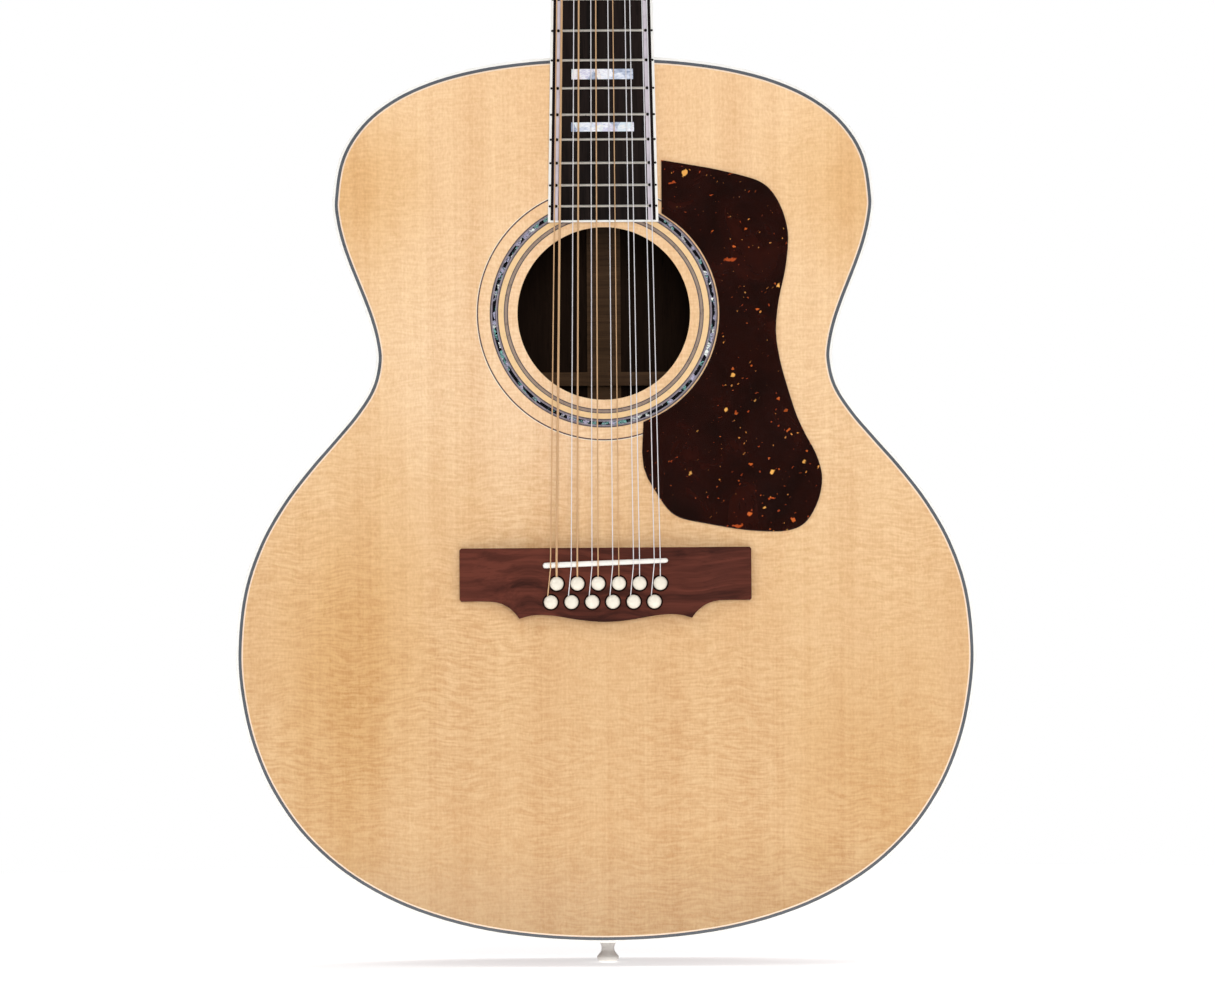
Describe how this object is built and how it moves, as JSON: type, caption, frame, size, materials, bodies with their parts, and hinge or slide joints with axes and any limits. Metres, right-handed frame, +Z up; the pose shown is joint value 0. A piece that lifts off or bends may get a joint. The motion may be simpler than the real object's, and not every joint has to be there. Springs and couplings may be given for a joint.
{
  "type": "twelve-string acoustic guitar",
  "caption": "Jumbo flat-top acoustic guitar with paired strings, belly bridge, pickguard and open-geared tuning machines that turn.",
  "frame": {"origin": "centre of the strap button's flat end face, the lowest point of the guitar standing upright", "axes": "+Z up the neck, -Y out of the soundboard toward the player's audience, +X toward the treble strings"},
  "size_m": [0.4314, 0.1378, 1.1002],
  "materials": {
    "spruce_top": "satin lacquer over pale spruce",
    "brace_wood": "raw planed spruce and maple",
    "rosewood": "glossy dark rosewood",
    "mahogany": "satin mahogany",
    "ebony": "polished ebony with nickel-silver frets",
    "bone": "polished bone",
    "binding": "white binding with dark and cream lines",
    "tortoiseshell": "dark tortoiseshell with amber flecks",
    "shell": "iridescent shell inlay",
    "nickel": "polished nickel",
    "steel": "plain steel",
    "plain_string": "bright plain steel wire with a cream bridge pin",
    "wound_string": "bronze winding with a cream bridge pin"
  },
  "bodies": {
    "guitar": {"soundboard": "spruce_top", "back": "rosewood", "side_bass": "rosewood", "side_treble": "rosewood", "binding_top": "binding", "binding_back": "binding", "neck": "mahogany", "fingerboard": "ebony", "nut": "bone", "bridge": "rosewood", "saddle": "bone", "pickguard": "tortoiseshell", "neck_block": "mahogany", "tail_block": "mahogany", "top_bracing": "brace_wood", "back_bracing": "brace_wood", "bridge_plate": "brace_wood", "rosette": "shell", "strap_button": "bone", "heel_cap": "rosewood", "tuner_plate_bass": "nickel", "tuner_plate_treble": "nickel", "string_01": "wound_string", "string_02": "wound_string", "string_03": "plain_string", "string_04": "wound_string", "string_05": "plain_string", "string_06": "wound_string", "string_07": "plain_string", "string_08": "wound_string", "string_09": "plain_string", "string_10": "plain_string", "string_11": "plain_string", "string_12": "plain_string", "truss_rod_cover": "ebony"},
    "truss_rod": {"truss_rod": "steel"},
    "tuner_key_01": {"tuner_key_01": "nickel"},
    "string_post_01": {"string_post_01": "nickel"},
    "tuner_key_02": {"tuner_key_02": "nickel"},
    "string_post_02": {"string_post_02": "nickel"},
    "tuner_key_03": {"tuner_key_03": "nickel"},
    "string_post_03": {"string_post_03": "nickel"},
    "tuner_key_04": {"tuner_key_04": "nickel"},
    "string_post_04": {"string_post_04": "nickel"},
    "tuner_key_05": {"tuner_key_05": "nickel"},
    "string_post_05": {"string_post_05": "nickel"},
    "tuner_key_06": {"tuner_key_06": "nickel"},
    "string_post_06": {"string_post_06": "nickel"},
    "tuner_key_07": {"tuner_key_07": "nickel"},
    "string_post_07": {"string_post_07": "nickel"},
    "tuner_key_08": {"tuner_key_08": "nickel"},
    "string_post_08": {"string_post_08": "nickel"},
    "tuner_key_09": {"tuner_key_09": "nickel"},
    "string_post_09": {"string_post_09": "nickel"},
    "tuner_key_10": {"tuner_key_10": "nickel"},
    "string_post_10": {"string_post_10": "nickel"},
    "tuner_key_11": {"tuner_key_11": "nickel"},
    "string_post_11": {"string_post_11": "nickel"},
    "tuner_key_12": {"tuner_key_12": "nickel"},
    "string_post_12": {"string_post_12": "nickel"}
  },
  "joints": [
    {"name": "truss_rod_turn", "type": "hinge", "parent": "guitar", "child": "truss_rod", "pos_m": [0, -0.056, 0.8892], "axis": [0, 0, 1], "range_deg": [-180, 180]},
    {"name": "tuner_key_01_turn", "type": "hinge", "parent": "guitar", "child": "tuner_key_01", "pos_m": [-0.0255, -0.0364, 0.92252], "axis": [1, 0, 0], "continuous": true},
    {"name": "string_post_01_turn", "type": "hinge", "parent": "guitar", "child": "string_post_01", "pos_m": [-0.0255, -0.05282, 0.93331], "axis": [0, 0.9703, -0.2419], "continuous": true},
    {"name": "tuner_key_02_turn", "type": "hinge", "parent": "guitar", "child": "tuner_key_02", "pos_m": [-0.0255, -0.02986, 0.94872], "axis": [1, 0, 0], "continuous": true},
    {"name": "string_post_02_turn", "type": "hinge", "parent": "guitar", "child": "string_post_02", "pos_m": [-0.0255, -0.04629, 0.95951], "axis": [0, 0.9703, -0.2419], "continuous": true},
    {"name": "tuner_key_03_turn", "type": "hinge", "parent": "guitar", "child": "tuner_key_03", "pos_m": [-0.0255, -0.02333, 0.97491], "axis": [1, 0, 0], "continuous": true},
    {"name": "string_post_03_turn", "type": "hinge", "parent": "guitar", "child": "string_post_03", "pos_m": [-0.0255, -0.03976, 0.98571], "axis": [0, 0.9703, -0.2419], "continuous": true},
    {"name": "tuner_key_04_turn", "type": "hinge", "parent": "guitar", "child": "tuner_key_04", "pos_m": [-0.0255, -0.0168, 1.00111], "axis": [1, 0, 0], "continuous": true},
    {"name": "string_post_04_turn", "type": "hinge", "parent": "guitar", "child": "string_post_04", "pos_m": [-0.0255, -0.03323, 1.01191], "axis": [0, 0.9703, -0.2419], "continuous": true},
    {"name": "tuner_key_05_turn", "type": "hinge", "parent": "guitar", "child": "tuner_key_05", "pos_m": [-0.0255, -0.01027, 1.02731], "axis": [1, 0, 0], "continuous": true},
    {"name": "string_post_05_turn", "type": "hinge", "parent": "guitar", "child": "string_post_05", "pos_m": [-0.0255, -0.0267, 1.0381], "axis": [0, 0.9703, -0.2419], "continuous": true},
    {"name": "tuner_key_06_turn", "type": "hinge", "parent": "guitar", "child": "tuner_key_06", "pos_m": [-0.0255, -0.00374, 1.05351], "axis": [1, 0, 0], "continuous": true},
    {"name": "string_post_06_turn", "type": "hinge", "parent": "guitar", "child": "string_post_06", "pos_m": [-0.0255, -0.02016, 1.0643], "axis": [0, 0.9703, -0.2419], "continuous": true},
    {"name": "tuner_key_07_turn", "type": "hinge", "parent": "guitar", "child": "tuner_key_07", "pos_m": [0.0255, -0.00374, 1.05351], "axis": [1, 0, 0], "continuous": true},
    {"name": "string_post_07_turn", "type": "hinge", "parent": "guitar", "child": "string_post_07", "pos_m": [0.0255, -0.02016, 1.0643], "axis": [0, 0.9703, -0.2419], "continuous": true},
    {"name": "tuner_key_08_turn", "type": "hinge", "parent": "guitar", "child": "tuner_key_08", "pos_m": [0.0255, -0.01027, 1.02731], "axis": [1, 0, 0], "continuous": true},
    {"name": "string_post_08_turn", "type": "hinge", "parent": "guitar", "child": "string_post_08", "pos_m": [0.0255, -0.0267, 1.0381], "axis": [0, 0.9703, -0.2419], "continuous": true},
    {"name": "tuner_key_09_turn", "type": "hinge", "parent": "guitar", "child": "tuner_key_09", "pos_m": [0.0255, -0.0168, 1.00111], "axis": [1, 0, 0], "continuous": true},
    {"name": "string_post_09_turn", "type": "hinge", "parent": "guitar", "child": "string_post_09", "pos_m": [0.0255, -0.03323, 1.01191], "axis": [0, 0.9703, -0.2419], "continuous": true},
    {"name": "tuner_key_10_turn", "type": "hinge", "parent": "guitar", "child": "tuner_key_10", "pos_m": [0.0255, -0.02333, 0.97491], "axis": [1, 0, 0], "continuous": true},
    {"name": "string_post_10_turn", "type": "hinge", "parent": "guitar", "child": "string_post_10", "pos_m": [0.0255, -0.03976, 0.98571], "axis": [0, 0.9703, -0.2419], "continuous": true},
    {"name": "tuner_key_11_turn", "type": "hinge", "parent": "guitar", "child": "tuner_key_11", "pos_m": [0.0255, -0.02986, 0.94872], "axis": [1, 0, 0], "continuous": true},
    {"name": "string_post_11_turn", "type": "hinge", "parent": "guitar", "child": "string_post_11", "pos_m": [0.0255, -0.04629, 0.95951], "axis": [0, 0.9703, -0.2419], "continuous": true},
    {"name": "tuner_key_12_turn", "type": "hinge", "parent": "guitar", "child": "tuner_key_12", "pos_m": [0.0255, -0.0364, 0.92252], "axis": [1, 0, 0], "continuous": true},
    {"name": "string_post_12_turn", "type": "hinge", "parent": "guitar", "child": "string_post_12", "pos_m": [0.0255, -0.05282, 0.93331], "axis": [0, 0.9703, -0.2419], "continuous": true}
  ],
  "couplings": [
    {"joint": "string_post_01_turn", "follows": "tuner_key_01_turn", "ratio": 0.071429},
    {"joint": "string_post_02_turn", "follows": "tuner_key_02_turn", "ratio": 0.071429},
    {"joint": "string_post_03_turn", "follows": "tuner_key_03_turn", "ratio": 0.071429},
    {"joint": "string_post_04_turn", "follows": "tuner_key_04_turn", "ratio": 0.071429},
    {"joint": "string_post_05_turn", "follows": "tuner_key_05_turn", "ratio": 0.071429},
    {"joint": "string_post_06_turn", "follows": "tuner_key_06_turn", "ratio": 0.071429},
    {"joint": "string_post_07_turn", "follows": "tuner_key_07_turn", "ratio": 0.071429},
    {"joint": "string_post_08_turn", "follows": "tuner_key_08_turn", "ratio": 0.071429},
    {"joint": "string_post_09_turn", "follows": "tuner_key_09_turn", "ratio": 0.071429},
    {"joint": "string_post_10_turn", "follows": "tuner_key_10_turn", "ratio": 0.071429},
    {"joint": "string_post_11_turn", "follows": "tuner_key_11_turn", "ratio": 0.071429},
    {"joint": "string_post_12_turn", "follows": "tuner_key_12_turn", "ratio": 0.071429}
  ]
}
